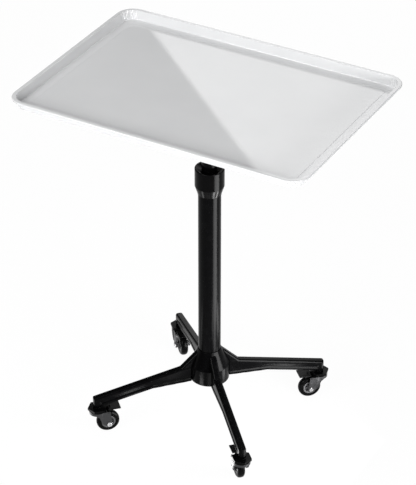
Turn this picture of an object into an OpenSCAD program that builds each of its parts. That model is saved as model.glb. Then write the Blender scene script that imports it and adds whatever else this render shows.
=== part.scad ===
// Mayo stand on four braked casters: a pressed white tray on a post that slides and turns in a
// column, held by a twist collar. Millimetres, +Z up, origin on the floor under the column's axis,
// +X along the tray's long side. The four legs stand on the diagonals.

/* [Tray] */
// Length of the tray over its rolled rim
tray_l = 662.5; // [560:0.5:760]
// Width of the tray over its rolled rim
tray_w = 470; // [380:0.5:560]
// Height of the tray from its underside to the top of the rim
tray_h = 21.5; // [18:0.5:40]
// How far the tray's middle stands off the post's axis, along the tray
tray_off_x = -4; // [-10:0.5:10]
// Thickness of the tray's sheet
tray_t = 1.2; // [1:0.1:2]
// Outside radius of the tray's corners
tray_corner_r = 39.5; // [30:0.5:60]
// Width of the rim, from the wall's inner face to the outer edge
rim_w = 9; // [8:0.5:14]
// Radius of the rim's rolled edge
rim_roll_r = 2.6; // [2:0.1:3.5]
// How far the wall leans in from the rim to the floor
wall_lean = 3; // [1:0.5:6]
// Inside radius where the wall meets the floor
wall_foot_r = 5; // [3:0.5:8]

/* [Tray mount] */
// Length of the plate under the tray
mount_l = 220; // [180:1:280]
// Width of the plate under the tray
mount_w = 160; // [130:1:200]
// Thickness of the plate under the tray
mount_t = 4; // [3:0.5:6]
// Distance between the tray's studs along the tray
stud_gap_x = 180; // [150:1:190]
// Distance between the tray's studs across the tray
stud_gap_y = 120; // [110:1:125]
// Diameter of the tray's studs
stud_d = 6; // [5:0.5:8]
// Diameter of the head flange on the post
head_flange_d = 90; // [80:1:100]
// Thickness of the head flange
head_flange_t = 6; // [4:0.5:10]
// Height of the head's socket below its flange
head_socket_h = 24; // [16:1:40]
// Wall of the head's socket
head_socket_wall = 5.5; // [4:0.5:8]

/* [Column and post] */
// Outer diameter of the column
column_d = 48; // [44:0.5:52]
// Wall of the column
column_wall = 2.5; // [2:0.5:3]
// Height of the column above the shelf that it stands on
column_len = 471; // [400:1:560]
// Outer diameter of the post
post_d = 33; // [30:0.5:34]
// Wall of the post
post_wall = 2; // [1.5:0.5:3]
// Length of the post
post_len = 500; // [470:1:560]
// Length of the post that shows between the collar and the head's socket
post_out = 126; // [60:1:130]

/* [Twist collar] */
// Outer diameter of the collar
collar_d = 62; // [58:0.5:68]
// Height of the collar
collar_h = 62; // [56:1:70]
// Height of the collar's straight grip
collar_grip_h = 41; // [34:1:44]
// Radius of the collar's upper edge
collar_edge_r = 4; // [2:0.5:5]
// Depth of the dish in the collar's top
collar_dish = 4.5; // [2:0.5:6]

/* [Hub] */
// Diameter of the hub
hub_d = 85; // [80:1:92]
// Height of the hub's underside above the floor
hub_z = 99; // [97:0.5:104]
// Height of the hub's straight side
hub_side_h = 37; // [34:1:42]
// Height of the hub's cone
hub_cone_h = 39.5; // [34:0.5:46]

/* [Legs] */
// Distance from the column's axis to a leg's tip
leg_reach = 259; // [245:1:275]
// Width of a leg
leg_w = 16.5; // [15:0.5:20]
// Height of a leg's top above the floor at its tip
leg_tip_z = 90.5; // [89:0.5:95]
// Depth of a leg at its tip
leg_tip_h = 24.5; // [22.5:0.5:25.5]
// Distance from the column's axis to the foot of a leg's rib
rib_foot_r = 65; // [58:1:75]
// Height of the rib's foot above the hub's underside
rib_foot_h = 34; // [30:0.5:38]
// Drop of the rib's upper end below the hub's top
rib_drop = 5; // [2:0.5:10]
// Distance from the column's axis to the bend in a leg's underside
leg_knee_r = 130; // [110:1:150]
// Drop of that bend below the hub's underside
leg_knee_drop = 5; // [2:0.5:6]
// Radius along the upper edges of a leg
leg_edge_r = 4.2; // [1.5:0.1:5]
// Radius of the corners of a leg's tip, seen from above
leg_tip_r = 6.5; // [4:0.5:8]
// Height of the groove in a leg's sides above the leg's underside
groove_low = 6.5; // [5:0.5:7]
// Height of that groove
groove_h = 7; // [4:0.5:8]
// Depth of that groove
groove_depth = 1.6; // [1:0.1:2.5]
// Distance that the groove ends short of the caster's swivel axis
groove_short = 5.5; // [5:0.5:12]

/* [Casters] */
// Distance from a leg's tip back to its caster's swivel axis
caster_inset = 9; // [8:0.5:12]
// Distance that a wheel's axle trails behind the swivel axis
caster_trail = 22; // [20:0.5:24]
// Height of a caster from the floor to the top of its plate
caster_h = 67; // [66.5:0.25:67.5]
// Diameter of a wheel
wheel_d = 51; // [46:0.5:51.5]
// Width of a wheel's tyre
tyre_w = 16; // [12:0.5:20]
// Thickness of the tyre
tyre_t = 10; // [6:0.5:12]
// Width of the caster's hexagonal flange over its flats
flange_flats = 37.5; // [35:0.5:38.5]
// Thickness of the caster's flange
flange_t = 5.5; // [4:0.25:6]
// Height of the neck between the flange and the leg
neck_h = 2; // [1:0.5:3.5]
// Radius of that neck
neck_r = 8; // [7:0.25:10]
// Radius of the fork's crown
crown_r = 18.5; // [18:0.25:19.5]
// Thickness of the fork's crown
crown_t = 4.5; // [3.5:0.25:5]
// Width of the fork over its cheeks
fork_w = 32.8; // [30:0.2:34]
// Thickness of the fork's sheet
fork_t = 2.2; // [1.5:0.1:3]
// Diameter of the caster's stem
stem_d = 10; // [8:0.5:11]
// Diameter of the axle
axle_d = 6; // [5:0.5:8]
// Diameter of the swivel's balls
ball_d = 5; // [4:0.25:5.5]
// Number of balls in a swivel
ball_count = 10; // [6:1:12]

/* [Brake pedals] */
// Width of the pedal's tread
pedal_w = 28; // [24:0.5:30]
// Distance from the swivel axis to the pedal's outer edge
pedal_reach = 48.5; // [46:0.5:54]
// Thickness of the pedal
pedal_t = 2.2; // [1.6:0.1:2.6]
// Angle that the pedal is pressed through to brake the wheel
pedal_press = 14; // [10:1:16]

/* [Clearances] */
// Radial clearance of a shaft that runs in a bore
run_gap = 0.06; // [0.03:0.01:0.09]
// Clearance between pieces that move past each other
move_gap = 0.35; // [0.3:0.05:0.5]
// Radial clearance of a screw or pin in its hole
hole_gap = 0.1; // [0.05:0.05:0.3]

/* [Hidden] */
$fn = 64;

corner_names = ["left", "front", "right", "back"];
corner_angles = [225, 315, 45, 135];

// Leg ends and casters
caster_reach = leg_reach - caster_inset;
leg_knee = [leg_knee_r, hub_z - leg_knee_drop];
leg_foot = [leg_reach, leg_tip_z - leg_tip_h];
groove_x = caster_reach - groove_short;
rib_w = leg_w - 0.6;
axle_z = wheel_d / 2;
flange_top_z = caster_h - neck_h;
flange_z = flange_top_z - flange_t;
race_t = 0.9;
race_z = flange_z - race_t;
crown_gap = 1.6;
crown_top_z = race_z - crown_gap;
crown_z = crown_top_z - crown_t;
ball_z = (race_z + crown_top_z) / 2;
ball_track_r = crown_r - 6.5;
skirt_r = flange_flats / 2 - 1.25;
skirt_t = 1.5;
axle_x = -caster_trail;
fork_in = fork_w / 2 - fork_t;
shell_z = crown_z - 1.5;
shell_back_x = 0.25 - sqrt(pow(crown_r, 2) - pow(fork_w / 2, 2));
cheek_front_x = shell_back_x + 0.75;
cheek_front_z = axle_z + 3;
cheek_foot_r = 6.8;
cheek_foot_x = axle_x - cheek_foot_r;
cheek_back_x = axle_x - 2.5;
axle_nut_t = 3;
stem_head_h = 3;
stem_head_r = stem_d / 2 + 3;
stem_z = crown_z - stem_head_h - move_gap;
stem_top_z = caster_h + 16;

// Brake pedal
pedal_root_r = 3.2;
pedal_pin_d = 3;
pedal_pin_x = -crown_r - move_gap - pedal_root_r;
pedal_pin_z = crown_top_z - 3;
pedal_z = pedal_pin_z + 6.6;
pedal_rivet_x = -caster_trail - 4.5;
pedal_neck_x = -flange_flats / sqrt(3) - 2 * move_gap;
shoe_w = 12;
shoe_back_x = pedal_pin_x - 11;
rivet_r = 2.2;
rivet_h = 3.2;

// Hub
hub_top_z = hub_z + hub_side_h + hub_cone_h;
hub_lip_r = column_d / 2 + 1.3;
socket_r = column_d / 2 + hole_gap;
shelf_z = hub_z + 26;
shelf_t = 10;
hub_wall = 6.5;
cavity_r = hub_d / 2 - hub_wall;
cover_t = 2.8;
cover_rim = 3;
cover_r = cavity_r + cover_rim;
leg_screw_d = 8;
leg_screw_z = hub_z + 9.5;
leg_screw_end = hub_d / 2 + 30;
leg_screw_head_h = 8;
leg_screw_head_r = 0.75 * leg_screw_d;
screw_seat_x = cavity_r + 0.5;
dowel_d = 6;
dowel_z = hub_z + 31;
dowel_in = hub_d / 2 - 10;
dowel_len = 22;
tie_d = 12;
tie_head_h = 7.5;
washer_t = 2.5;
plug_h = 24;

// Column head and post
column_top_z = shelf_z + column_len;
column_in_r = column_d / 2 - column_wall;
thread_r = column_d / 2 + 1;
thread_h = 12;
insert_depth = 54;
cone_h = 8;
cone_flare = 3.4;
collet_h = cone_h + 3;
collet_slit = 2;
collar_z = column_top_z - 34;
collar_top_z = collar_z + collar_h;
collar_lip_h = 2;
post_r = post_d / 2;
post_in_r = post_r - post_wall;
head_z = collar_top_z + post_out;
head_flange_z = head_z + head_socket_h;
mount_z = head_flange_z + head_flange_t;
tray_z = mount_z + mount_t;
rim_z = tray_z + tray_h;
post_top_z = head_flange_z + 2;
post_z = post_top_z - post_len;
clip_t = 2.5;
clip_r = post_r + 2.5;
bush_h = 30;
bush_z = post_z + clip_t + 0.2;
bush_r = column_in_r - run_gap;
head_screw_d = 6;
head_screw_r = head_flange_d / 2 - 11;
nut_h = 5;

// Helpers

// Places its children at corner i, with +X out along the leg
module at_corner(i) {
    rotate([0, 0, corner_angles[i]]) children();
}

// Places its children at caster i, with the origin on the floor under the swivel axis
module at_caster(i) {
    at_corner(i) translate([caster_reach, 0, 0]) children();
}

// Places its children at each of the tray's studs
module at_studs() {
    for (x = [-1, 1], y = [-1, 1])
        translate([tray_off_x + x * stud_gap_x / 2, y * stud_gap_y / 2, 0]) children();
}

// A tube or ring about Z
module ring(outer_r, inner_r, h) {
    difference() {
        cylinder(r = outer_r, h = h);
        translate([0, 0, -1]) cylinder(r = inner_r, h = h + 2);
    }
}

// A rod along Y, centred on the origin
module rod_y(r, len) {
    rotate([90, 0, 0]) cylinder(r = r, h = len, center = true);
}

// A hexagonal prism about Z, by its width across the flats
module hex_prism(flats, h) {
    cylinder(r = flats / sqrt(3), h = h, $fn = 6);
}

// A flat rectangle with round corners, centred on the origin
module round_rect(l, w, r) {
    square([l - 2 * r, w], center = true);
    square([l, w - 2 * r], center = true);
    for (x = [-1, 1], y = [-1, 1]) {
        translate([x * (l / 2 - r), y * (w / 2 - r)]) circle(r = r);
    }
}

// Stands an outline drawn in X and Z up as a slab between y0 and y1
module slab_y(y0, y1) {
    translate([0, y1, 0]) rotate([90, 0, 0]) linear_extrude(y1 - y0) children();
}

// Hub and column

// The hub's outer form, to its full depth inside
module hub_form() {
    rotate_extrude() polygon([
        [0, hub_z], [hub_d / 2, hub_z], [hub_d / 2, hub_z + hub_side_h],
        [hub_lip_r, hub_top_z], [0, hub_top_z]
    ]);
}

module hub() {
    color([0.06, 0.06, 0.065])
    difference() {
        hub_form();
        translate([0, 0, shelf_z]) cylinder(r = socket_r, h = hub_top_z);
        translate([0, 0, hub_z - 1]) cylinder(r = tie_d / 2 + hole_gap, h = hub_top_z);
        translate([0, 0, hub_z - 1]) cylinder(r = cavity_r, h = shelf_z - shelf_t - hub_z + 1);
        translate([0, 0, hub_z - 1]) cylinder(r = cover_r, h = cover_t + 1);
        for (i = [0:3]) at_corner(i) {
            translate([0, 0, leg_screw_z]) rotate([0, 90, 0])
                cylinder(r = leg_screw_d / 2 + hole_gap, h = hub_d);
            translate([cavity_r / 2, 0, leg_screw_z]) rotate([0, 90, 0])
                cylinder(r = leg_screw_head_r + move_gap, h = screw_seat_x - cavity_r / 2);
            translate([dowel_in, 0, dowel_z]) rotate([0, 90, 0])
                cylinder(r = dowel_d / 2 + hole_gap, h = hub_d);
        }
    }
}

module hub_cover() {
    color([0.09, 0.09, 0.095])
    translate([0, 0, hub_z]) cylinder(r = cover_r - hole_gap, h = cover_t);
}

module leg_screws() {
    color([0.55, 0.55, 0.57])
    for (i = [0:3]) at_corner(i) translate([screw_seat_x, 0, leg_screw_z]) rotate([0, 90, 0]) {
        cylinder(r = leg_screw_d / 2, h = leg_screw_end - screw_seat_x);
        difference() {
            translate([0, 0, -leg_screw_head_h]) cylinder(r = leg_screw_head_r, h = leg_screw_head_h);
            translate([0, 0, -leg_screw_head_h - 1]) hex_prism(leg_screw_d * 0.75, leg_screw_head_h / 2 + 1);
        }
    }
}

module leg_dowels() {
    color([0.6, 0.6, 0.62])
    for (i = [0:3]) at_corner(i) translate([dowel_in, 0, dowel_z]) rotate([0, 90, 0])
        cylinder(r = dowel_d / 2, h = dowel_len);
}

module column() {
    color([0.05, 0.05, 0.055])
    translate([0, 0, shelf_z]) ring(column_d / 2, column_in_r, column_len);
}

module column_plug() {
    color([0.4, 0.4, 0.42])
    translate([0, 0, shelf_z]) ring(column_in_r, tie_d / 2 + hole_gap, plug_h);
}

module tie_bolt() {
    color([0.6, 0.6, 0.62])
    translate([0, 0, shelf_z - shelf_t - washer_t]) {
        cylinder(r = tie_d / 2, h = shelf_t + washer_t + plug_h - 2);
        translate([0, 0, -tie_head_h]) hex_prism(tie_d * 1.5, tie_head_h);
    }
}

module tie_washer() {
    color([0.62, 0.62, 0.64])
    translate([0, 0, shelf_z - shelf_t - washer_t]) ring(tie_d, tie_d / 2 + hole_gap, washer_t);
}

// Legs

// A long deep bar of width w below a line in the X-Z plane, from a through b, with round upper edges
module edge_bar(a, b, w) {
    run = b - a;
    len = norm(run);
    past = 60;
    deep = 160;
    translate([a[0], 0, a[1]])
        rotate([0, -atan2(run[1], run[0]), 0])
            translate([-past, 0, 0])
                rotate([90, 0, 90])
                    linear_extrude(len + 2 * past)
                        translate([0, -deep / 2]) round_rect(w, deep, leg_edge_r);
}

// Side form of a leg: below its top and its rib, above its underside, with a round tip
module leg_form() {
    tip = [leg_reach, leg_tip_z];
    rib_foot = [rib_foot_r, hub_z + rib_foot_h];
    rib_top = [hub_lip_r + 1.5, hub_top_z - rib_drop];
    low_z = caster_h;
    intersection() {
        union() {
            edge_bar(rib_foot, tip, leg_w);
            edge_bar(rib_top, rib_foot, rib_w);
        }
        slab_y(-leg_w, leg_w) polygon([
            [0, hub_z], leg_knee, leg_foot, leg_foot + [leg_edge_r, 0],
            [leg_reach + leg_edge_r, hub_top_z], [0, hub_top_z]
        ]);
        translate([leg_reach / 2, 0, low_z]) linear_extrude(hub_top_z - low_z)
            round_rect(leg_reach, leg_w + 4 * hole_gap, leg_tip_r);
    }
}

// Side view of the groove in a leg's sides, which follows the leg's underside
module groove_outline() {
    run = leg_foot - leg_knee;
    end_z = leg_knee[1] + run[1] * (groove_x - leg_knee[0]) / run[0];
    translate([0, groove_low]) polygon([
        [0, hub_z], leg_knee, [groove_x, end_z],
        [groove_x, end_z + groove_h], leg_knee + [0, groove_h], [0, hub_z + groove_h]
    ]);
}

module leg(i) {
    color([0.06, 0.06, 0.065])
    at_corner(i) difference() {
        union() {
            leg_form();
            translate([caster_reach, 0, caster_h]) cylinder(r = leg_w / 2 - hole_gap, h = leg_tip_h / 2);
        }
        hub_form();
        cylinder(r = hub_d / 2, h = hub_z + 1);
        slab_y(leg_w / 2 - groove_depth, leg_w) groove_outline();
        slab_y(-leg_w, groove_depth - leg_w / 2) groove_outline();
        translate([caster_reach, 0, caster_h - 1])
            cylinder(r = stem_d / 2 + hole_gap, h = stem_top_z - caster_h + 2);
        translate([0, 0, leg_screw_z]) rotate([0, 90, 0])
            cylinder(r = leg_screw_d / 2 + hole_gap, h = leg_screw_end + 2);
        translate([0, 0, dowel_z]) rotate([0, 90, 0])
            cylinder(r = dowel_d / 2 + hole_gap, h = dowel_in + dowel_len + 1);
    }
}

// Casters

// The ball track, as a ring to be cut from a race
module ball_track() {
    translate([0, 0, ball_z]) rotate_extrude()
        translate([ball_track_r, 0]) circle(r = ball_d / 2 + run_gap);
}

module caster_stems() {
    color([0.5, 0.5, 0.52])
    for (i = [0:3]) at_caster(i) {
        translate([0, 0, stem_z]) cylinder(r = stem_d / 2, h = stem_top_z - stem_z);
        translate([0, 0, stem_z]) cylinder(r = stem_head_r, h = stem_head_h);
    }
}

module swivel_balls() {
    color([0.75, 0.75, 0.77])
    for (i = [0:3], n = [0:ball_count - 1]) at_caster(i)
        rotate([0, 0, n * 360 / ball_count]) translate([ball_track_r, 0, ball_z]) sphere(r = ball_d / 2);
}

// The neck, the hexagonal flange and the upper race, whose skirt covers the balls
module caster_flange(i) {
    color([0.08, 0.08, 0.085])
    at_caster(i) difference() {
        union() {
            translate([0, 0, flange_z]) cylinder(r = neck_r, h = caster_h - flange_z);
            translate([0, 0, flange_z]) hex_prism(flange_flats, flange_t);
            translate([0, 0, race_z]) cylinder(r = skirt_r, h = race_t + flange_t / 2);
            translate([0, 0, crown_top_z + move_gap])
                ring(skirt_r, skirt_r - skirt_t, flange_z - crown_top_z - move_gap + 1);
        }
        ball_track();
        translate([0, 0, race_z - 1]) cylinder(r = stem_d / 2 + hole_gap, h = caster_h);
    }
}

// Outline of a fork's cheek in X and Z: it leans back, and its foot is round about the axle
module cheek_outline() {
    polygon([
        [cheek_foot_x, axle_z - 0.4 * cheek_foot_r], [cheek_back_x, crown_top_z],
        [cheek_front_x, crown_top_z], [cheek_front_x, cheek_front_z],
        [axle_x + 1.3 * cheek_foot_r, axle_z - 0.4 * cheek_foot_r],
        [axle_x + 0.6 * cheek_foot_r, axle_z - 0.8 * cheek_foot_r]
    ]);
    translate([axle_x, axle_z]) circle(r = cheek_foot_r);
}

// The crown's round part with the shell that hangs from its front, narrower towards the cheeks
module crown_shell() {
    side_y = crown_r + 1;
    difference() {
        intersection() {
            cylinder(r = crown_r, h = crown_top_z);
            slab_y(-side_y, side_y) polygon([
                [-side_y, crown_z], [shell_back_x, crown_z], [shell_back_x, cheek_front_z],
                [cheek_front_x + 0.5, cheek_front_z], [0, shell_z - 4.5], [7, shell_z],
                [side_y, shell_z], [side_y, crown_top_z + 1], [-side_y, crown_top_z + 1]
            ]);
        }
        translate([0, 0, -1]) cylinder(r = crown_r - fork_t, h = crown_z + 1);
    }
}

// The crown with its shell and its two cheeks
module fork(i) {
    color([0.3, 0.3, 0.31])
    at_caster(i) difference() {
        union() {
            crown_shell();
            translate([-crown_r, -fork_w / 2, crown_z]) cube([crown_r + cheek_front_x, fork_w, crown_t]);
            slab_y(fork_in, fork_w / 2) cheek_outline();
            slab_y(-fork_w / 2, -fork_in) cheek_outline();
        }
        ball_track();
        translate([0, 0, crown_z - 1]) cylinder(r = stem_d / 2 + run_gap, h = crown_t + 2);
        translate([axle_x, 0, axle_z]) rod_y(axle_d / 2 + hole_gap, fork_w + 2);
        translate([pedal_pin_x, 0, pedal_pin_z]) rod_y(pedal_pin_d / 2 + hole_gap, fork_w + 2);
    }
}

// The axle bolt, with its low round head on one cheek and its end in the nut on the other
module axle_bolt(i) {
    head_t = 0.8;
    bolt_len = fork_w + axle_nut_t + 0.3;
    color([0.62, 0.62, 0.64])
    at_caster(i) translate([axle_x, -fork_w / 2, axle_z]) rotate([-90, 0, 0]) {
        cylinder(r = axle_d / 2, h = bolt_len);
        translate([0, 0, -head_t]) cylinder(r = axle_d * 0.8, h = head_t);
    }
}

module axle_nut(i) {
    color([0.8, 0.8, 0.82])
    at_caster(i) translate([axle_x, fork_w / 2, axle_z]) rotate([-90, 0, 0]) difference() {
        intersection() {
            hex_prism(axle_d * 1.65, axle_nut_t);
            cylinder(r1 = axle_d, r2 = axle_d * 0.88, h = axle_nut_t);
        }
        translate([0, 0, -1]) cylinder(r = axle_d / 2 + hole_gap, h = axle_nut_t + 2);
    }
}

// The wheel's core: hub tube, web and rim
module wheel_core(i) {
    core_r = wheel_d / 2 - tyre_t;
    bore_r = axle_d / 2 + run_gap;
    hub_half = fork_in - move_gap;
    hub_wall = 3.2;
    web_t = 5;
    rim_t = 4.5;
    rim_half = tyre_w / 2 - 0.5;
    color([0.42, 0.42, 0.43])
    at_caster(i) translate([axle_x, 0, axle_z]) rotate([90, 0, 0]) rotate_extrude() {
        translate([bore_r, -hub_half]) square([hub_wall, 2 * hub_half]);
        translate([bore_r, -web_t / 2]) square([core_r - bore_r, web_t]);
        translate([core_r - rim_t, -rim_half]) square([rim_t, 2 * rim_half]);
    }
}

// The tyre, with its tread crowned by an arc and its shoulders rounded
module tyre(i) {
    crown_drop = 2.2;
    tread_arc_r = (pow(tyre_w / 2, 2) + pow(crown_drop, 2)) / (2 * crown_drop);
    color([0.05, 0.05, 0.05])
    at_caster(i) translate([axle_x, 0, axle_z]) rotate([90, 0, 0]) rotate_extrude() intersection() {
        translate([wheel_d / 2 - tyre_t, -tyre_w / 2]) square([tyre_t, tyre_w]);
        translate([wheel_d / 2 - tread_arc_r, 0]) circle(r = tread_arc_r);
    }
}

// The brake pedal: a tread, a root round its pin, a shoe over the tyre and a rivet head. The shoe is
// cut clear of the tyre with the pedal up, and to the tyre with the pedal pressed.
module pedal(i) {
    root_w = 2 * (fork_in - move_gap);
    arm_w = shoe_w + 4;
    color([0.1, 0.1, 0.105])
    at_caster(i) difference() {
        union() {
            translate([-pedal_reach, -pedal_w / 2, pedal_z])
                cube([pedal_reach + pedal_neck_x, pedal_w, pedal_t]);
            translate([pedal_pin_x, 0, pedal_pin_z]) rod_y(pedal_root_r, root_w);
            translate([pedal_pin_x - pedal_root_r, -arm_w / 2, pedal_pin_z])
                cube([pedal_neck_x - pedal_pin_x + pedal_root_r, arm_w, pedal_z - pedal_pin_z + 1]);
            translate([shoe_back_x, -shoe_w / 2, axle_z])
                cube([pedal_pin_x - shoe_back_x - pedal_pin_d, shoe_w, pedal_z - axle_z + 1]);
            translate([pedal_rivet_x, 0, pedal_z]) cylinder(r = rivet_r, h = pedal_t + rivet_h);
        }
        translate([pedal_pin_x, 0, pedal_pin_z]) rod_y(pedal_pin_d / 2 + run_gap, pedal_w);
        for (turn = [0, pedal_press]) translate([pedal_pin_x, 0, pedal_pin_z]) rotate([0, turn, 0])
            translate([axle_x - pedal_pin_x, 0, axle_z - pedal_pin_z])
                rod_y(wheel_d / 2 + move_gap, pedal_w);
    }
}

module pedal_pin(i) {
    color([0.6, 0.6, 0.62])
    at_caster(i) translate([pedal_pin_x, 0, pedal_pin_z]) rod_y(pedal_pin_d / 2, fork_w + 2);
}

// Column head

// The bush in the column's mouth, which guides the post, carries the collar's thread outside and the
// collet's cone inside
module neck_insert() {
    bore_r = post_r + run_gap;
    color([0.12, 0.12, 0.125])
    difference() {
        union() {
            translate([0, 0, column_top_z - insert_depth]) cylinder(r = column_in_r, h = insert_depth);
            translate([0, 0, column_top_z]) cylinder(r = thread_r, h = thread_h);
        }
        translate([0, 0, column_top_z - insert_depth - 1])
            cylinder(r = bore_r, h = insert_depth + thread_h + 2);
        translate([0, 0, column_top_z + thread_h - cone_h])
            cylinder(r1 = bore_r, r2 = bore_r + cone_flare, h = cone_h + 0.01);
    }
}

module collet() {
    flare = cone_flare * collet_h / cone_h;
    bore_r = post_r + run_gap;
    blunt = 0.8;
    color([0.85, 0.85, 0.82])
    translate([0, 0, column_top_z + thread_h - cone_h]) difference() {
        intersection() {
            cylinder(r1 = bore_r, r2 = bore_r + flare, h = collet_h);
            translate([0, 0, blunt]) cylinder(r = post_r + cone_flare + 1, h = collet_h);
        }
        translate([0, 0, -1]) cylinder(r = bore_r, h = collet_h + 2);
        translate([0, -collet_slit / 2, -1]) cube([2 * post_r, collet_slit, collet_h + 2]);
    }
}

module collar() {
    grip_z = collar_z + collar_h - collar_grip_h;
    flat_r = collar_d / 2 - collar_edge_r;
    lip_r = column_d / 2 + 0.9;
    thread_z = column_top_z - move_gap;
    roof_z = column_top_z + thread_h - cone_h + collet_h + move_gap;
    color([0.05, 0.05, 0.055])
    difference() {
        rotate_extrude() union() {
            polygon([
                [0, collar_z], [lip_r, collar_z], [lip_r, collar_z + collar_lip_h],
                [collar_d / 2, grip_z], [collar_d / 2, collar_top_z - collar_edge_r],
                [flat_r, collar_top_z - collar_edge_r], [flat_r, collar_top_z],
                [post_r, collar_top_z - collar_dish], [0, collar_top_z - collar_dish]
            ]);
            intersection() {
                translate([flat_r, collar_top_z - collar_edge_r]) circle(r = collar_edge_r);
                translate([flat_r, collar_top_z - collar_edge_r]) square(collar_edge_r);
            }
        }
        translate([0, 0, collar_z - 1]) cylinder(r = column_d / 2 + move_gap, h = thread_z - collar_z + 1.5);
        translate([0, 0, thread_z]) cylinder(r = thread_r + run_gap, h = roof_z - thread_z);
        translate([0, 0, collar_z]) cylinder(r = post_r + move_gap, h = collar_h + 1);
    }
}

// Post and head

module guide_bush() {
    color([0.85, 0.85, 0.82])
    translate([0, 0, bush_z]) ring(bush_r, post_r + run_gap, bush_h);
}

module post() {
    color([0.05, 0.05, 0.055])
    translate([0, 0, post_z]) ring(post_r, post_in_r, post_len);
}

// Two rings that grip the post below and above its bush
module post_clips() {
    color([0.6, 0.6, 0.62]) {
        translate([0, 0, post_z]) ring(clip_r, post_r, clip_t);
        translate([0, 0, bush_z + bush_h + 0.2]) ring(clip_r, post_r, clip_t);
    }
}

module post_head() {
    color([0.07, 0.07, 0.075])
    difference() {
        union() {
            translate([0, 0, head_z]) cylinder(r = post_r + head_socket_wall, h = head_socket_h);
            translate([0, 0, head_flange_z]) cylinder(d = head_flange_d, h = head_flange_t);
        }
        translate([0, 0, head_z - 1]) cylinder(r = post_r, h = post_top_z - head_z + 1);
        for (a = [45:90:315]) rotate([0, 0, a]) translate([head_screw_r, 0, head_flange_z - 1])
            cylinder(d = head_screw_d + 2 * hole_gap, h = head_flange_t + 2);
    }
}

// Countersunk screws, flush in the plate under the tray, with a nut below each
module head_screws() {
    color([0.62, 0.62, 0.64])
    for (a = [45:90:315]) rotate([0, 0, a]) translate([head_screw_r, 0, 0]) {
        translate([0, 0, head_flange_z - nut_h - 1.5])
            cylinder(d = head_screw_d, h = head_flange_t + mount_t + nut_h + 1.5);
        translate([0, 0, tray_z - head_screw_d / 2])
            cylinder(d1 = head_screw_d, d2 = 2 * head_screw_d, h = head_screw_d / 2);
        translate([0, 0, head_flange_z - nut_h]) hex_prism(head_screw_d * 1.65, nut_h);
    }
}

module mount_plate() {
    mount_corner_r = 16;
    hole_r = head_screw_d / 2 + hole_gap;
    sink_h = head_screw_d / 2;
    color([0.07, 0.07, 0.075])
    translate([0, 0, mount_z]) difference() {
        translate([tray_off_x, 0, 0]) linear_extrude(mount_t) round_rect(mount_l, mount_w, mount_corner_r);
        for (a = [45:90:315]) rotate([0, 0, a]) translate([head_screw_r, 0, 0]) {
            translate([0, 0, -1]) cylinder(r = hole_r, h = mount_t + 2);
            translate([0, 0, mount_t - sink_h])
                cylinder(r1 = hole_r, r2 = hole_r + sink_h, h = sink_h + 0.01);
        }
        at_studs() translate([0, 0, -1]) cylinder(d = stud_d + 2 * hole_gap, h = mount_t + 2);
    }
}

// Studs welded to the tray's underside
module tray_studs() {
    color([0.62, 0.62, 0.64])
    at_studs() translate([0, 0, mount_z - nut_h - 2]) cylinder(d = stud_d, h = mount_t + nut_h + 2);
}

// Flange nuts on the tray's studs
module stud_nuts() {
    color([0.62, 0.62, 0.64])
    at_studs() translate([0, 0, mount_z - nut_h]) difference() {
        union() {
            hex_prism(stud_d * 1.65, nut_h);
            translate([0, 0, nut_h - 1.2]) cylinder(d = stud_d * 2.2, h = 1.2);
        }
        translate([0, 0, -1]) cylinder(d = stud_d + 2 * hole_gap, h = nut_h + 2);
    }
}

// Tray

// Section of the tray's wall and rim. X is the distance out from the corner's centre.
module wall_section() {
    wall_top_x = tray_corner_r - rim_w;
    wall_low_x = wall_top_x - wall_lean;
    foot_x = wall_low_x - wall_foot_r;
    foot_z = tray_t + wall_foot_r;
    roll_x = tray_corner_r - rim_roll_r;
    square([foot_x, tray_t]);
    translate([foot_x, foot_z]) intersection() {
        difference() {
            circle(r = wall_foot_r + tray_t);
            circle(r = wall_foot_r);
        }
        translate([0, -foot_z]) square(foot_z);
    }
    polygon([
        [wall_low_x, foot_z], [wall_low_x + tray_t, foot_z],
        [wall_top_x + tray_t, tray_h - tray_t], [roll_x, tray_h - tray_t], [roll_x, tray_h],
        [wall_top_x, tray_h]
    ]);
    translate([roll_x, tray_h - rim_roll_r]) circle(r = rim_roll_r);
}

module tray() {
    half_x = tray_l / 2 - tray_corner_r;
    half_y = tray_w / 2 - tray_corner_r;
    color([0.9, 0.91, 0.92])
    translate([tray_off_x, 0, tray_z]) union() {
        translate([-half_x, -half_y, 0]) cube([2 * half_x, 2 * half_y, tray_t]);
        for (a = [0, 180]) rotate([0, 0, a]) {
            translate([half_x, half_y, 0]) rotate([90, 0, 0]) linear_extrude(2 * half_y) wall_section();
            translate([-half_x, half_y, 0]) rotate([90, 0, 90]) linear_extrude(2 * half_x) wall_section();
            translate([half_x, half_y, 0]) rotate_extrude(angle = 90) wall_section();
            translate([-half_x, half_y, 0]) rotate([0, 0, 90]) rotate_extrude(angle = 90) wall_section();
        }
    }
}

hub();
hub_cover();
leg_screws();
leg_dowels();
column();
column_plug();
tie_bolt();
tie_washer();
caster_stems();
swivel_balls();
neck_insert();
collet();
collar();
guide_bush();
post();
post_clips();
post_head();
head_screws();
mount_plate();
stud_nuts();
tray_studs();
tray();
for (i = [0:3]) {
    leg(i);
    caster_flange(i);
    fork(i);
    axle_bolt(i);
    axle_nut(i);
    wheel_core(i);
    tyre(i);
    pedal(i);
    pedal_pin(i);
}
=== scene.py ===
import math

import bmesh
import bpy
from mathutils import Matrix, Vector


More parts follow.
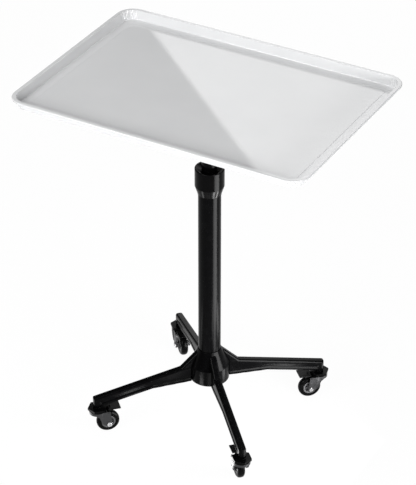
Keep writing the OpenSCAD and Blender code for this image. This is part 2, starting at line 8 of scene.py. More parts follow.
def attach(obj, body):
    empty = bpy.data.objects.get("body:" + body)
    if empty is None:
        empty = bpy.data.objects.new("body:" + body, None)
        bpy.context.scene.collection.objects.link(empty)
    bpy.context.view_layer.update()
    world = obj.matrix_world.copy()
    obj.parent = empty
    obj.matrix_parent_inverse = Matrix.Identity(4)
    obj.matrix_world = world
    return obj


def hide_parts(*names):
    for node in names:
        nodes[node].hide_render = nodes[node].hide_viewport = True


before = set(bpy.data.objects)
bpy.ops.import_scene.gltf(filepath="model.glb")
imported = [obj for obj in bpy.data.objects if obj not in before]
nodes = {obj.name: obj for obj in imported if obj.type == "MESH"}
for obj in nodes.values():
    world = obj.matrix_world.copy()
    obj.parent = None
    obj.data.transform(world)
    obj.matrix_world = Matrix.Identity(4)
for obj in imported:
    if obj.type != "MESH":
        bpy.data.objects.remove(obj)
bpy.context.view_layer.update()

# The view
# The stand on a matt, pale floor that keeps a soft shadow, seen from above its front corner. The
# camera stands 4.7 m off with a long lens. Soft lamps hang above, in front and at the right.
scene = bpy.context.scene
scene.view_settings.view_transform = "Standard"

view_turn = math.radians(29.426)
view_tilt = math.radians(33.032)
lens_body = bpy.data.cameras.new("camera")
lens_body.lens = 166.4
lens_body.sensor_width = 36
lens_body.sensor_fit = "AUTO"
lens_body.clip_end = 200
camera = bpy.data.objects.new("camera", lens_body)
camera.location = (1.91934, -3.40945, 2.98566)
camera.rotation_euler = (math.pi / 2 - view_tilt, 0, view_turn)
scene.collection.objects.link(camera)
scene.camera = camera

floor_half = 60
floor_grey = 0.8
floor_white = 0.96
floor_mesh = bpy.data.meshes.new("floor")
floor_mesh.from_pydata([(x * floor_half, y * floor_half, 0) for x, y in ((-1, -1), (1, -1), (1, 1), (-1, 1))],
                       [], [(0, 1, 2, 3)])
floor = bpy.data.objects.new("floor", floor_mesh)
scene.collection.objects.link(floor)

# The floor's paint: matt under the lamps, and near white where the camera or a shiny piece sees it.
floor_paint = bpy.data.materials.new("floor_paint")
floor_paint.use_nodes = True
tree = floor_paint.node_tree
tree.nodes.clear()
matt = tree.nodes.new("ShaderNodeBsdfDiffuse")
matt.inputs["Color"].default_value = (floor_grey, floor_grey, floor_grey, 1)
glow = tree.nodes.new("ShaderNodeEmission")
rays = tree.nodes.new("ShaderNodeLightPath")
seen_or_mirrored = tree.nodes.new("ShaderNodeMath")
seen_or_mirrored.operation = "MAXIMUM"
seen_in_any_way = tree.nodes.new("ShaderNodeMath")
seen_in_any_way.operation = "MAXIMUM"
white_share = tree.nodes.new("ShaderNodeMath")
white_share.operation = "MULTIPLY"
white_share.inputs[1].default_value = floor_white
mix = tree.nodes.new("ShaderNodeMixShader")
out = tree.nodes.new("ShaderNodeOutputMaterial")
tree.links.new(rays.outputs["Is Camera Ray"], seen_or_mirrored.inputs[0])
tree.links.new(rays.outputs["Is Glossy Ray"], seen_or_mirrored.inputs[1])
tree.links.new(seen_or_mirrored.outputs[0], seen_in_any_way.inputs[0])
tree.links.new(rays.outputs["Is Transmission Ray"], seen_in_any_way.inputs[1])
tree.links.new(seen_in_any_way.outputs[0], white_share.inputs[0])
tree.links.new(white_share.outputs[0], mix.inputs[0])
tree.links.new(matt.outputs[0], mix.inputs[1])
tree.links.new(glow.outputs[0], mix.inputs[2])
tree.links.new(mix.outputs[0], out.inputs[0])
floor_mesh.materials.append(floor_paint)

room_light = 0.14
world = bpy.data.worlds.new("room")
world.use_nodes = True
world.node_tree.nodes["Background"].inputs[0].default_value = (1, 1, 1, 1)
world.node_tree.nodes["Background"].inputs[1].default_value = room_light
scene.world = world


def panel(name, stand, wide, tall, radiance, beam=180):
    """A rectangular lamp that the camera doesn't see. It shines against the Z axis of its stand."""
    lamp = bpy.data.lights.new(name, "AREA")
    lamp.shape = "RECTANGLE"
    lamp.size = wide
    lamp.size_y = tall
    lamp.energy = 4 * wide * tall * radiance
    lamp.spread = math.radians(beam)
    box = bpy.data.objects.new(name, lamp)
    box.matrix_world = stand
    box.visible_camera = False
    scene.collection.objects.link(box)


def facing(at, aim):
    """The stand of a lamp at one point that shines on another."""
    return Matrix.Translation(at) @ (Vector(at) - Vector(aim)).to_track_quat("Z", "Y").to_matrix().to_4x4()


panel("top", facing((-0.3, -0.4, 3.3), (0, 0, 0.7)), 2.2, 2.2, 1.3)
panel("key", facing((-0.9, -3.2, 2.3), (0, 0, 0.6)), 2.0, 1.6, 9.0)
panel("side", facing((2.52, -1.23, 1.05), (0, 0, 0.3)), 1.3, 0.7, 15.0)
panel("low_side", facing((0.40, -0.04, 0.22), (-0.6, -0.04, 0.32)), 0.27, 0.45, 8.5, beam=115)

# Strips on the floor shine upwards and give the black pieces their narrow lights. Each is
# (x, y, deep, wide, radiance).
strip_up = 0.004
strip_lean = 0.001
for x, y, deep, wide, radiance in (
        (0.32, -0.05, 0.13, 0.12, 15), (0.33, 0.19, 0.12, 0.09, 15), (0.33, -0.19, 0.12, 0.07, 15),
        (-0.04, -0.17, 0.06, 0.04, 15), (0.20, 0.075, 0.08, 0.06, 12), (-0.28, -0.21, 0.10, 0.12, 3.5),
        (0.10, -0.165, 0.08, 0.06, 4)):
    panel("low_strip", facing((x, y, strip_up), (x, y + strip_lean, 1.0)), deep, wide, radiance, beam=130)

# A card behind the tray stands where the camera sees the tray's floor mirror it. One of its long
# sides gives the sheen there a straight, slanting edge.
away = Vector((-math.cos(view_tilt) * math.sin(view_turn), math.cos(view_tilt) * math.cos(view_turn),
               math.sin(view_tilt)))
card_right = Vector((math.cos(view_turn), math.sin(view_turn), 0))
card_up = away.cross(card_right) * -1
card_off = 3
card_wide = 1.5
card_tall = 3.2
card_radiance = 1.9
sheen_point = Vector((0, 0, 0.785))
edge_run = Vector((0.599, 0.801))
edge_mid = Vector((-0.047, -0.227))
card_mid = edge_mid + Vector((edge_run.y, -edge_run.x)) * card_wide / 2
card_at = sheen_point + away * card_off + card_right * card_mid.x + card_up * card_mid.y
card_face = Matrix((card_right, -card_up, away)).transposed().to_4x4()
card_slant = Matrix.Rotation(math.atan2(edge_run.x, edge_run.y), 4, "Z")
panel("sheen_card", Matrix.Translation(card_at) @ card_face @ card_slant, card_wide, card_tall,
      card_radiance)

# The hub
# A drum and a cone, cast in one and powder coated satin black. The column stands in its socket, the
# legs are bolted to its side with zinc plated screws, and a moulded disc closes it from below.


def finish(name, colour, rough, metal=0.0, gloss=0.5):
    """A material with its shader, and its texture coordinates on the object."""
    made = bpy.data.materials.new(name)
    made.use_nodes = True
    shader = made.node_tree.nodes["Principled BSDF"]
    shader.inputs["Base Color"].default_value = (*colour, 1)
    shader.inputs["Roughness"].default_value = rough
    shader.inputs["Metallic"].default_value = metal
    shader.inputs["Specular IOR Level"].default_value = gloss
    made.node_tree.nodes.new("ShaderNodeTexCoord")
    return made


def grain(made, scale, detail, stretch=None):
    """A noise on the object's own coordinates. Its socket comes back."""
    tree = made.node_tree
    coords = tree.nodes["Texture Coordinate"].outputs["Object"]
    if stretch:
        mapping = tree.nodes.new("ShaderNodeMapping")
        mapping.inputs["Scale"].default_value = stretch
        tree.links.new(coords, mapping.inputs["Vector"])
        coords = mapping.outputs["Vector"]
    noise = tree.nodes.new("ShaderNodeTexNoise")
    noise.inputs["Scale"].default_value = scale
    noise.inputs["Detail"].default_value = detail
    tree.links.new(coords, noise.inputs["Vector"])
    return noise.outputs["Fac"]


def ranged(made, fac, low, high, start=0.3, stop=0.7):
    """Maps a noise to the range low to high."""
    tree = made.node_tree
    ramp = tree.nodes.new("ShaderNodeMapRange")
    for socket, value in (("From Min", start), ("From Max", stop), ("To Min", low), ("To Max", high)):
        ramp.inputs[socket].default_value = value
    tree.links.new(fac, ramp.inputs["Value"])
    return ramp.outputs["Result"]


def tone(made, fac, first, second):
    """Varies the base colour between two tones."""
    tree = made.node_tree
    mix = tree.nodes.new("ShaderNodeMix")
    mix.data_type = "RGBA"
    mix.inputs["A"].default_value = (*first, 1)
    mix.inputs["B"].default_value = (*second, 1)
    tree.links.new(fac, mix.inputs["Factor"])
    tree.links.new(mix.outputs["Result"], tree.nodes["Principled BSDF"].inputs["Base Color"])


def rough_by(made, fac):
    """Varies the roughness with a noise."""
    made.node_tree.links.new(fac, made.node_tree.nodes["Principled BSDF"].inputs["Roughness"])


def relief(made, fac, height, strength):
    """Adds a bump of the given height in metres, on top of any bump before it."""
    tree = made.node_tree
    bump = tree.nodes.new("ShaderNodeBump")
    bump.inputs["Distance"].default_value = height
    bump.inputs["Strength"].default_value = strength
    tree.links.new(fac, bump.inputs["Height"])
    normal = tree.nodes["Principled BSDF"].inputs["Normal"]
    if normal.is_linked:
        tree.links.new(normal.links[0].from_socket, bump.inputs["Normal"])
    tree.links.new(bump.outputs["Normal"], normal)


black_coat = finish("black_coat", (0.001, 0.001, 0.0011), 0.2, gloss=0.038)
tone(black_coat, ranged(black_coat, grain(black_coat, 55, 5), 0, 1, 0.5, 0.85),
     (0.0008, 0.0008, 0.0009), (0.002, 0.002, 0.0022))
rough_by(black_coat, ranged(black_coat, grain(black_coat, 24, 4), 0.16, 0.23))
relief(black_coat, grain(black_coat, 850, 2), 0.00006, 0.5)
relief(black_coat, grain(black_coat, 160, 2), 0.00008, 0.35)

moulded_black = finish("moulded_black", (0.001, 0.001, 0.0011), 0.18, gloss=0.042)
rough_by(moulded_black, ranged(moulded_black, grain(moulded_black, 40, 5), 0.14, 0.22))
relief(moulded_black, grain(moulded_black, 1400, 2), 0.00003, 0.5)

zinc = finish("zinc", (0.56, 0.56, 0.57), 0.3, metal=1.0)
rough_by(zinc, ranged(zinc, grain(zinc, 420, 3), 0.24, 0.42))
relief(zinc, grain(zinc, 900, 2), 0.00002, 0.5)

turned_alloy = finish("turned_alloy", (0.62, 0.62, 0.63), 0.32, metal=1.0)
relief(turned_alloy, grain(turned_alloy, 30, 1, (1, 1, 60)), 0.00003, 0.5)
rough_by(turned_alloy, ranged(turned_alloy, grain(turned_alloy, 60, 3), 0.26, 0.4))


def rounded(corners, steps):
    """Rounds the corners of a closed outline. Each corner is (x, y, radius)."""
    side_share = 0.49
    outline = []
    for i, (x, y, radius) in enumerate(corners):
        corner = Vector((x, y))
        back = Vector(corners[i - 1][:2]) - corner
        on = Vector(corners[(i + 1) % len(corners)][:2]) - corner
        if radius <= 0:
            outline.append(corner)
            continue
        half = back.angle(on) / 2
        reach = min(radius / math.tan(half), side_share * back.length, side_share * on.length)
        radius = reach * math.tan(half)
        centre = corner + (back.normalized() + on.normalized()).normalized() * radius / math.sin(half)
        start = corner + back.normalized() * reach - centre
        stop = corner + on.normalized() * reach - centre
        sweep = start.angle(stop)
        for k in range(steps + 1):
            t = k / steps
            spoke = start * math.sin((1 - t) * sweep) + stop * math.sin(t * sweep)
            outline.append(centre + spoke / math.sin(sweep))
    return outline


weld = 1e-6


def piece(name, points, faces, coat, body, slot, *stands_for, turn_out=True):
    """A finished mesh object that rides on a body and stands for CAD nodes."""
    shell = bmesh.new()
    verts = [shell.verts.new(p) for p in points]
    for face in faces:
        shell.faces.new([verts[i] for i in face])
    bmesh.ops.remove_doubles(shell, verts=shell.verts, dist=weld)
    if turn_out:
        bmesh.ops.recalc_face_normals(shell, faces=shell.faces)
    mesh = bpy.data.meshes.new(name)
    shell.to_mesh(mesh)
    shell.free()
    mesh.shade_smooth()
    mesh.materials.append(coat)
    made = bpy.data.objects.new(name, mesh)
    scene.collection.objects.link(made)
    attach(made, body)
    if stands_for:
        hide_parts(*stands_for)
    return made


def even(made):
    """Weights the normals by face area, so that flats stay flat next to round edges."""
    made.modifiers.new("normals", "WEIGHTED_NORMAL").keep_sharp = True


def turned(name, corners, coat, body, slot, *stands_for, place=Matrix(), around=96, steps=5):
    """A piece turned about Z from a closed outline of (radius, height, rounding)."""
    outline = rounded(corners, steps)
    count = len(outline)
    points = []
    faces = []
    for k in range(around):
        a = 2 * math.pi * k / around
        points += [place @ Vector((p.x * math.cos(a), p.x * math.sin(a), p.y)) for p in outline]
        on = (k + 1) % around
        for i in range(count):
            j = (i + 1) % count
            faces.append((k * count + i, on * count + i, on * count + j, k * count + j))
    even(piece(name, points, faces, coat, body, slot, *stands_for))


def coat_nodes(coat, *names):
    """Gives CAD nodes that stay as they are their material."""
    for name in names:
        for slot in nodes[name].material_slots:
            slot.material = coat


hub_low = 0.0990
hub_side_top = 0.1360
hub_top = 0.1755
hub_r = 0.0425
hub_lip_r = 0.0253
socket_r = 0.0242
hollow_r = 0.0340
shelf_low = 0.1150
shelf_top = 0.1250
shelf_hole_r = 0.0100
turned("hub_casting", [
    (hollow_r, hub_low, 0.0005), (hub_r, hub_low, 0.0016), (hub_r, hub_side_top, 0.0030),
    (hub_lip_r, hub_top, 0.0010), (socket_r, hub_top, 0.0003), (socket_r, shelf_top, 0),
    (shelf_hole_r, shelf_top, 0), (shelf_hole_r, shelf_low, 0), (hollow_r, shelf_low, 0),
], black_coat, "base", "black_paint", "hub", around=128)

disc_r = 0.0388
disc_top = 0.1018
turned("hub_disc", [
    (0, hub_low, 0), (disc_r, hub_low, 0.0006), (disc_r, disc_top, 0.0003), (0, disc_top, 0),
], moulded_black, "base", "black_plastic", "hub_cover")
coat_nodes(zinc, "leg_screws", "leg_dowels", "tie_bolt", "tie_washer")
coat_nodes(turned_alloy, "column_plug")

# The legs
# Four castings, powder coated like the hub. Each has a rib that climbs the hub's cone, and is bolted
# to the hub's side from inside. All its edges are soft, as a sand casting's are.
legs = {"left": 225, "front": 315, "right": 45, "back": 135}
cast_grain = 0.001
cast_passes = 4
flat_angle = math.radians(0.3)


def merged(node):
    """The points and faces of a copy of a CAD node, with its loose triangles joined."""
    shell = bmesh.new()
    shell.from_mesh(nodes[node].data)
    bmesh.ops.remove_doubles(shell, verts=shell.verts, dist=weld)
    bmesh.ops.dissolve_limit(shell, angle_limit=flat_angle, verts=shell.verts, edges=shell.edges)
    points = [v.co.copy() for v in shell.verts]
    faces = [[v.index for v in f.verts] for f in shell.faces]
    shell.free()
    return points, faces


def applied(made):
    """Makes what the modifiers give the object's own mesh, and removes them."""
    made.data = bpy.data.meshes.new_from_object(made.evaluated_get(bpy.context.evaluated_depsgraph_get()))
    made.modifiers.clear()
    made.data.shade_smooth()


def cast(name, node, coat, body, slot):
    """A casting: the node's form remeshed evenly and its edges softened."""
    points, faces = merged(node)
    made = piece(name, points, faces, coat, body, slot, node, turn_out=False)
    remesh = made.modifiers.new("even", "REMESH")
    remesh.mode = "VOXEL"
    remesh.voxel_size = cast_grain
    soften = made.modifiers.new("soften", "SMOOTH")
    soften.factor = 0.5
    soften.iterations = cast_passes
    applied(made)


for leg in legs:
    cast("leg_casting_" + leg, "leg_" + leg, black_coat, "base", "black_paint")

# The swivels
# A hexagonal flange and neck, turned from one steel bar and blacked, over a race of bare steel balls.
# A stem through them screws into the leg's end.
blacked = finish("blacked_steel", (0.001, 0.001, 0.0011), 0.24, gloss=0.045)
rough_by(blacked, ranged(blacked, grain(blacked, 300, 3), 0.2, 0.3))
relief(blacked, grain(blacked, 1200, 2), 0.00002, 0.4)


def dressed(name, node, coat, body, slot, width, steps=2):
    """A merged copy of a CAD node with its sharp edges broken to a round of this width."""
    sharp = math.radians(34)
    points, faces = merged(node)
    made = piece(name, points, faces, coat, body, slot, node, turn_out=False)
    made.data.set_sharp_from_angle(angle=sharp)
    edge = made.modifiers.new("edges", "BEVEL")
    edge.limit_method = "ANGLE"
    edge.angle_limit = sharp
    edge.width = width
    edge.segments = steps
    edge.harden_normals = False
    even(made)


for leg in legs:
    dressed("flange_" + leg, "caster_flange_" + leg, blacked, "base", "caster_black", 0.0005)
coat_nodes(zinc, "caster_stems", "swivel_balls")

# The forks
# Pressed steel, zinc plated to a satin grey, with the axle bolt through both cheeks. The bolt's low
# head is on one cheek. Its end stands out of a bright nut on the other.
satin_plate = finish("satin_plate", (0.058, 0.058, 0.06), 0.36, metal=1.0)
rough_by(satin_plate, ranged(satin_plate, grain(satin_plate, 160, 4), 0.30, 0.46))
relief(satin_plate, grain(satin_plate, 700, 2), 0.00003, 0.5)
bolt_plate = finish("bolt_plate", (0.42, 0.42, 0.425), 0.3, metal=1.0)
rough_by(bolt_plate, ranged(bolt_plate, grain(bolt_plate, 500, 3), 0.24, 0.38))
bright_plate = finish("bright_plate", (0.72, 0.72, 0.73), 0.16, metal=1.0)
rough_by(bright_plate, ranged(bright_plate, grain(bright_plate, 500, 3), 0.12, 0.24))


def tree_of(name, inputs):
    """An empty geometry tree with named inputs and one output."""
    tree = bpy.data.node_groups.new(name, "GeometryNodeTree")
    tree.interface.new_socket("Geometry", in_out="INPUT", socket_type="NodeSocketGeometry")
    for label, kind in inputs:
        tree.interface.new_socket(label, in_out="INPUT", socket_type=kind)
    tree.interface.new_socket("Geometry", in_out="OUTPUT", socket_type="NodeSocketGeometry")
    return tree, tree.nodes.new("NodeGroupInput"), tree.nodes.new("NodeGroupOutput")


def grown(name, tree, points, values, place, coat, body, slot, *stands_for):
    """Runs a geometry tree on points and turns its result into a plain mesh piece."""
    sharp = math.radians(30)
    seed_mesh = bpy.data.meshes.new(name)
    seed_mesh.from_pydata(points, [], [])
    made = bpy.data.objects.new(name, seed_mesh)
    scene.collection.objects.link(made)
    run = made.modifiers.new("grow", "NODES")
    run.node_group = tree
    for item in tree.interface.items_tree:
        if item.in_out == "INPUT" and item.name == "Coat":
            run[item.identifier] = coat
        elif item.in_out == "INPUT" and item.name in values:
            run[item.identifier] = values[item.name]
    applied(made)
    made.data.transform(place)
    made.data.set_sharp_from_angle(angle=sharp)
    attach(made, body)
    if stands_for:
        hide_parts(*stands_for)


# A six-sided nut: a prism on each point, with its upper face drawn in to a chamfer.
nut_face_share = 0.84
nut_tree, given, result = tree_of("hex_nut", [
    ("Flats", "NodeSocketFloat"), ("Height", "NodeSocketFloat"), ("Chamfer", "NodeSocketFloat"),
    ("Coat", "NodeSocketMaterial")])
to_radius = nut_tree.nodes.new("ShaderNodeMath")
to_radius.operation = "DIVIDE"
to_radius.inputs[1].default_value = math.sqrt(3)
straight = nut_tree.nodes.new("ShaderNodeMath")
straight.operation = "SUBTRACT"
prism = nut_tree.nodes.new("GeometryNodeMeshCylinder")
prism.inputs["Vertices"].default_value = 6
lift_prism = nut_tree.nodes.new("GeometryNodeTransform")
half_up = nut_tree.nodes.new("ShaderNodeMath")
half_up.operation = "MULTIPLY"
half_up.inputs[1].default_value = 0.5
up = nut_tree.nodes.new("ShaderNodeCombineXYZ")
crown = nut_tree.nodes.new("GeometryNodeExtrudeMesh")
shrink = nut_tree.nodes.new("GeometryNodeScaleElements")
shrink.inputs["Scale"].default_value = nut_face_share
on_points = nut_tree.nodes.new("GeometryNodeInstanceOnPoints")
real = nut_tree.nodes.new("GeometryNodeRealizeInstances")
paint = nut_tree.nodes.new("GeometryNodeSetMaterial")
link = nut_tree.links.new
link(given.outputs["Flats"], to_radius.inputs[0])
link(to_radius.outputs[0], prism.inputs["Radius"])
link(given.outputs["Height"], straight.inputs[0])
link(given.outputs["Chamfer"], straight.inputs[1])
link(straight.outputs[0], prism.inputs["Depth"])
link(straight.outputs[0], half_up.inputs[0])
link(half_up.outputs[0], up.inputs["Z"])
link(up.outputs[0], lift_prism.inputs["Translation"])
link(prism.outputs["Mesh"], lift_prism.inputs["Geometry"])
link(lift_prism.outputs[0], crown.inputs["Mesh"])
link(prism.outputs["Top"], crown.inputs["Selection"])
link(given.outputs["Chamfer"], crown.inputs["Offset Scale"])
link(crown.outputs["Mesh"], shrink.inputs["Geometry"])
link(crown.outputs["Top"], shrink.inputs["Selection"])
link(given.outputs["Geometry"], on_points.inputs["Points"])
link(shrink.outputs[0], on_points.inputs["Instance"])
link(on_points.outputs[0], real.inputs[0])
link(real.outputs[0], paint.inputs["Geometry"])
link(given.outputs["Coat"], paint.inputs["Material"])
link(paint.outputs[0], result.inputs[0])

axle_reach = 0.228
wheel_r = 0.0255
fork_half = 0.0164
nut_sizes = {"Flats": 0.0099, "Height": 0.003, "Chamfer": 0.0006}


def axle_place(turn):
    """Lays a piece made about Z along the axle of the caster at this angle."""
    out_way = Vector((math.cos(math.radians(turn)), math.sin(math.radians(turn)), 0))
    side = Vector((-out_way.y, out_way.x, 0))
    place = Matrix((out_way, (0, 0, -1), side)).transposed().to_4x4()
    place.translation = out_way * axle_reach + Vector((0, 0, wheel_r))
    return place


for leg, turn in legs.items():
    body = "swivel_" + leg
    dressed("fork_plate_" + leg, "fork_" + leg, satin_plate, body, "fork_steel", 0.0004)
    grown("nut_" + leg, nut_tree, [(0, 0, fork_half)], nut_sizes, axle_place(turn), bright_plate, body,
          "bright_steel", "axle_nut_" + leg)
    dressed("bolt_" + leg, "axle_bolt_" + leg, bolt_plate, body, "bolt_steel", 0.0003)

# The wheels
# A grey moulded core with ribs in its recess. Its tube runs on the axle bolt, and a round black
# rubber tyre is moulded on to its rim.
core_grey = finish("core_grey", (0.055, 0.055, 0.057), 0.42, gloss=0.4)
rough_by(core_grey, ranged(core_grey, grain(core_grey, 200, 3), 0.36, 0.52))
relief(core_grey, grain(core_grey, 1300, 2), 0.00003, 0.5)
rubber = finish("tyre_rubber", (0.0012, 0.0012, 0.0012), 0.25, gloss=0.05)
tone(rubber, ranged(rubber, grain(rubber, 130, 5), 0, 1, 0.45, 0.8),
     (0.0009, 0.0009, 0.001), (0.0028, 0.0028, 0.0027))
rough_by(rubber, ranged(rubber, grain(rubber, 260, 4), 0.2, 0.32))
relief(rubber, grain(rubber, 1500, 2), 0.00003, 0.6)

# Ribs that stand in a ring and point outwards.
rib_tree, given, result = tree_of("wheel_ribs", [
    ("Count", "NodeSocketInt"), ("Middle Radius", "NodeSocketFloat"), ("Rib Size", "NodeSocketVector"),
    ("Coat", "NodeSocketMaterial")])
ring_line = rib_tree.nodes.new("GeometryNodeMeshCircle")
bar = rib_tree.nodes.new("GeometryNodeMeshCube")
spot = rib_tree.nodes.new("GeometryNodeInputPosition")
outwards = rib_tree.nodes.new("FunctionNodeAlignRotationToVector")
outwards.axis = "X"
on_ring = rib_tree.nodes.new("GeometryNodeInstanceOnPoints")
real = rib_tree.nodes.new("GeometryNodeRealizeInstances")
paint = rib_tree.nodes.new("GeometryNodeSetMaterial")
link = rib_tree.links.new
link(given.outputs["Count"], ring_line.inputs["Vertices"])
link(given.outputs["Middle Radius"], ring_line.inputs["Radius"])
link(given.outputs["Rib Size"], bar.inputs["Size"])
link(spot.outputs[0], outwards.inputs["Vector"])
link(ring_line.outputs[0], on_ring.inputs["Points"])
link(bar.outputs["Mesh"], on_ring.inputs["Instance"])
link(outwards.outputs[0], on_ring.inputs["Rotation"])
link(on_ring.outputs[0], real.inputs[0])
link(real.outputs[0], paint.inputs["Geometry"])
link(given.outputs["Coat"], paint.inputs["Material"])
link(paint.outputs[0], result.inputs[0])

bore_r = 0.00306
tube_r = 0.00626
tube_half = 0.01385
web_r = 0.0110
web_half = 0.0025
rim_in_r = 0.0113
rim_r = 0.0155
rim_half = 0.0075
core_half = [
    (bore_r, -tube_half, 0.0002), (tube_r, -tube_half, 0.0005), (tube_r, -web_half, 0.0008),
    (web_r, -web_half, 0.0010), (rim_in_r, -rim_half, 0.0006), (rim_r, -rim_half, 0.0004)]
tyre_side = 0.0080
shoulder_r = 0.0212
tread_edge_r = 0.0245
tread_half = 0.0052
tyre_half = [
    (rim_r, -tyre_side, 0.0004), (shoulder_r, -tyre_side, 0.0030), (tread_edge_r, -tread_half, 0.0040)]
tyre_crown = (wheel_r, 0, 0.02)
rib_sizes = {"Count": 6, "Middle Radius": 0.0086, "Rib Size": (0.0056, 0.0014, 0.0120)}


def both_sides(half, *middle):
    """A closed outline from the corners of one side and those on the middle line."""
    return [*half, *middle, *[(radius, -along, rounding) for radius, along, rounding in reversed(half)]]


for leg, turn in legs.items():
    place = axle_place(turn)
    body = "wheel_" + leg
    turned("core_" + leg, both_sides(core_half), core_grey, body, "wheel_grey", "wheel_" + leg,
           place=place, around=64, steps=3)
    grown("core_ribs_" + leg, rib_tree, [(0, 0, 0)], rib_sizes, place, core_grey, body, "wheel_grey")
    turned("tyre_skin_" + leg, both_sides(tyre_half, tyre_crown), rubber, body, "tyre_rubber", "tyre_" + leg,
           place=place, around=96)

# The brake pedals
# Moulded black levers, each on a steel pin through the fork. A foot presses the tread down until the
# shoe bears on the tyre.
pedal_black = finish("pedal_black", (0.0025, 0.0025, 0.0026), 0.36, gloss=0.07)
rough_by(pedal_black, ranged(pedal_black, grain(pedal_black, 220, 3), 0.34, 0.48))
relief(pedal_black, grain(pedal_black, 1600, 2), 0.00005, 0.6)
for leg in legs:
    dressed("pedal_lever_" + leg, "pedal_" + leg, pedal_black, "pedal_" + leg, "pedal_plastic", 0.0004)
    coat_nodes(satin_plate, "pedal_pin_" + leg)

# The column
# A steel tube, powder coated as the hub is. A bush in its mouth guides the post, carries the
# collar's thread and holds the collet that clamps the post.
nylon = finish("nylon", (0.78, 0.77, 0.72), 0.5)
rough_by(nylon, ranged(nylon, grain(nylon, 300, 3), 0.42, 0.6))
column_r = 0.0240
column_in_r = 0.0215
column_top = 0.5960
turned("column_tube", [
    (column_in_r, shelf_top, 0.0003), (column_r, shelf_top, 0.0005),
    (column_r, column_top, 0.0005), (column_in_r, column_top, 0.0003),
], black_coat, "base", "black_paint", "column", around=128, steps=2)
coat_nodes(moulded_black, "neck_insert")
coat_nodes(nylon, "collet", "guide_bush")

# The twist collar
# A glossy black moulding that squeezes the collet when it is turned. Its top is dished round the
# post, and its grip narrows down to a lip on the column.
collar_low = 0.5620
collar_lip_top = 0.5640
grip_low = 0.5830
collar_top = 0.6240
dish_low = 0.6195
thread_top = 0.6114
thread_low = 0.5957
slide_r = 0.02435
collar_lip_r = 0.0249
grip_r = 0.0310
dish_r = 0.0272
dish_foot_r = 0.0178
mouth_r = 0.01685
thread_r = 0.02506
turned("collar_shell", [
    (slide_r, collar_low, 0.0002), (collar_lip_r, collar_low, 0.0004), (collar_lip_r, collar_lip_top, 0.0008),
    (grip_r, grip_low, 0.0050), (grip_r, collar_top, 0.0040), (dish_r, collar_top, 0.0010),
    (dish_foot_r, dish_low, 0.0008), (mouth_r, dish_low, 0.0003), (mouth_r, thread_top, 0),
    (thread_r, thread_top, 0), (thread_r, thread_low, 0), (slide_r, thread_low, 0),
], moulded_black, "collar", "black_plastic", "collar", around=128, steps=7)

# The post
# A steel tube that slides and turns, powder coated as the column is. The flange of the head on its
# end and the plate under the tray are bolted together.
post_r = 0.0165
post_in_r = 0.0145
post_low = 0.2760
post_top = 0.7760
turned("post_tube", [
    (post_in_r, post_low, 0.0003), (post_r, post_low, 0.0005),
    (post_r, post_top, 0.0005), (post_in_r, post_top, 0.0003),
], black_coat, "top", "black_paint", "post", around=96, steps=2)
coat_nodes(zinc, "post_clips", "head_screws", "stud_nuts", "tray_studs")
dressed("head_casting", "post_head", black_coat, "top", "black_paint", 0.0012, 3)
dressed("mount_sheet", "mount_plate", black_coat, "top", "black_paint", 0.0006)

# The tray
# One pressed sheet with crimped corners and a rolled rim, in white enamel. Its floor has a shallow
# margin inside the wall's foot. Studs hold it to the plate.
enamel = finish("white_enamel", (0.64, 0.645, 0.65), 0.07, gloss=0.5)
tone(enamel, ranged(enamel, grain(enamel, 9, 4), 0, 1), (0.625, 0.63, 0.637), (0.65, 0.654, 0.66))
rough_by(enamel, ranged(enamel, grain(enamel, 30, 5), 0.02, 0.04))
relief(enamel, grain(enamel, 1100, 2), 0.00001, 0.4)

tray_long = 0.6625
tray_wide = 0.470
tray_round = 0.0395
tray_shift = -0.004
tray_low = 0.784
crimps = 6
per_crimp = 9
side_bays = (12, 9)
least_r = 0.0005
fold_fade = 8


def tray_ring(inset, height, crimp):
    """One line round the tray, inset from its outer edge. crimp is the depth of the corners' folds."""
    centres = [Vector((sx * (tray_long / 2 - tray_round), sy * (tray_wide / 2 - tray_round)))
               for sx, sy in ((1, 1), (-1, 1), (-1, -1), (1, -1))]
    per_corner = crimps * per_crimp
    radius = tray_round - inset
    ring = []
    for q in range(4):
        for k in range(per_corner + 1):
            t = k / per_corner
            a = math.pi / 2 * (q + t)
            fold = 0
            if 0 < k < per_corner:
                fold = crimp * math.cos(2 * math.pi * crimps * t) * min(1, fold_fade * t * (1 - t))
            ring.append(centres[q] + Vector((math.cos(a), math.sin(a))) * max(radius + fold, least_r))
        a = math.pi / 2 * (q + 1)
        start = ring[-1]
        stop = centres[(q + 1) % 4] + Vector((math.cos(a), math.sin(a))) * max(radius, least_r)
        count = side_bays[q % 2]
        ring += [start.lerp(stop, k / count) for k in range(1, count)]
    return [Vector((p.x + tray_shift, p.y, tray_low + height)) for p in ring]


def arc(centre, radius, first, last, steps):
    """(inset, height, crimp) along an arc in the tray's section, angles in degrees."""
    span = [math.radians(first + (last - first) * k / steps) for k in range(steps + 1)]
    return [(centre[0] - radius * math.cos(a), centre[1] + radius * math.sin(a), 0) for a in span]


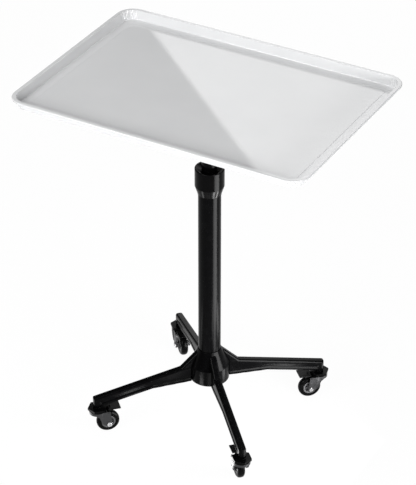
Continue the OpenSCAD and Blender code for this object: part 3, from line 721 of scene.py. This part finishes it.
# The sheet's section, from the floor over the inner wall and the rim, round the roll, and back below.
# Each point is (inset, height, crimp).
sheet = 0.0012
margin_drop = 0.0004
flat_from = 0.050
foot = (0.0150, 0.0030)
foot_in_r = 0.0022
foot_out_r = 0.0030
lip = (0.0086, 0.0209)
lip_r = 0.0006
roll = (0.0026, 0.0189)
roll_r = 0.0026
roll_in_r = 0.0016
floor_top = [(inset, sheet - drop * margin_drop, 0) for inset, drop in (
    (flat_from, 0), (0.0346, 0), (0.0342, 0.125), (0.0336, 0.9), (0.0332, 1), (0.0156, 1))]
inner_wall = [(0.01245, 0.0045, 0.0003), (0.01194, 0.0070, 0.0007), (0.01123, 0.0105, 0.0009),
              (0.01042, 0.0145, 0.0009), (0.00977, 0.0177, 0.0005), (0.00930, 0.0201, 0.0001)]
rim_top = [(0.0083, 0.0215, 0), (0.0056, 0.02152, 0), (0.0030, 0.0215, 0)]
rim_below = [(0.0050, 0.0203, 0), (0.0076, 0.0203, 0), (0.0082, 0.0200, 0)]
outer_wall = [(0.0083, 0.0190, 0.0001), (0.0086, 0.0177, 0.0005), (0.0093, 0.0145, 0.0009),
              (0.0102, 0.0105, 0.0009), (0.0110, 0.0070, 0.0007), (0.0116, 0.0045, 0.0003)]
floor_below = [(0.0330, 0, 0), (0.0350, 0, 0), (flat_from, 0, 0)]
section = [
    *floor_top, *arc(foot, foot_in_r, -90, -12, 6), *inner_wall, *arc(lip, lip_r, 180, 90, 4),
    *rim_top, *arc(roll, roll_r, 80, -120, 14), *arc(roll, roll_in_r, -120, 78, 10),
    *rim_below, *outer_wall, *arc(foot, foot_out_r, -12, -90, 6), *floor_below]
points = [point for inset, height, crimp in section for point in tray_ring(inset, height, crimp)]
around = len(points) // len(section)
faces = []
for r in range(len(section) - 1):
    for k in range(around):
        on = (k + 1) % around
        faces.append((r * around + k, r * around + on, (r + 1) * around + on, (r + 1) * around + k))
faces.append(tuple(range(around)))
faces.append(tuple(range((len(section) - 1) * around, len(section) * around)))
even(piece("tray_pan", points, faces, enamel, "top", "white_paint", "tray"))
